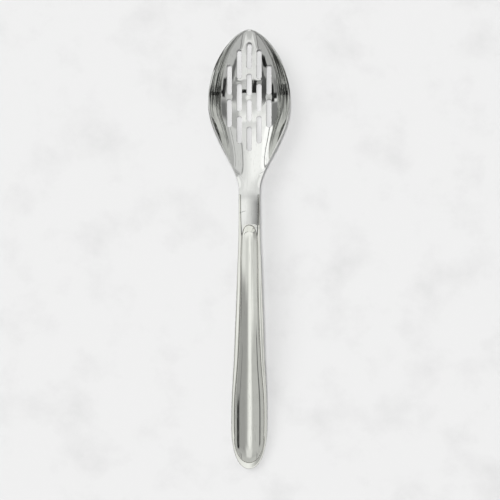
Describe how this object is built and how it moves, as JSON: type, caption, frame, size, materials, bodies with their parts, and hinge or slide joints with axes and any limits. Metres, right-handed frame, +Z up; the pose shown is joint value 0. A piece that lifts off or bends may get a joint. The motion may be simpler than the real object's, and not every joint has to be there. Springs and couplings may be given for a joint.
{
  "type": "slotted serving spoon",
  "caption": "Slotted stainless steel serving spoon with a pointed oval bowl, rows of round-ended drain slots, a slim neck and an arched hollow handle of welded shells.",
  "frame": {"origin": "centre of the bounding box, on the table plane that the spoon lies on", "axes": "+Y along the spoon from the handle's end to the tip of the bowl, +Z up out of the bowl's hollow, +X to the right seen from above with the bowl pointing away"},
  "size_m": [0.0574, 0.305, 0.0285],
  "materials": {
    "bowl_steel": "mirror polished stainless steel, stamped and graded blade",
    "shell_steel": "mirror polished stainless steel, drawn handle shells",
    "weld_steel": "ground and buffed stainless steel weld"
  },
  "bodies": {
    "root": {"slotted_bowl": "bowl_steel", "handle_back_shell": "shell_steel", "handle_front_shell": "shell_steel", "front_shell_weld": "weld_steel", "neck_seam_welds": "weld_steel"}
  },
  "joints": []
}
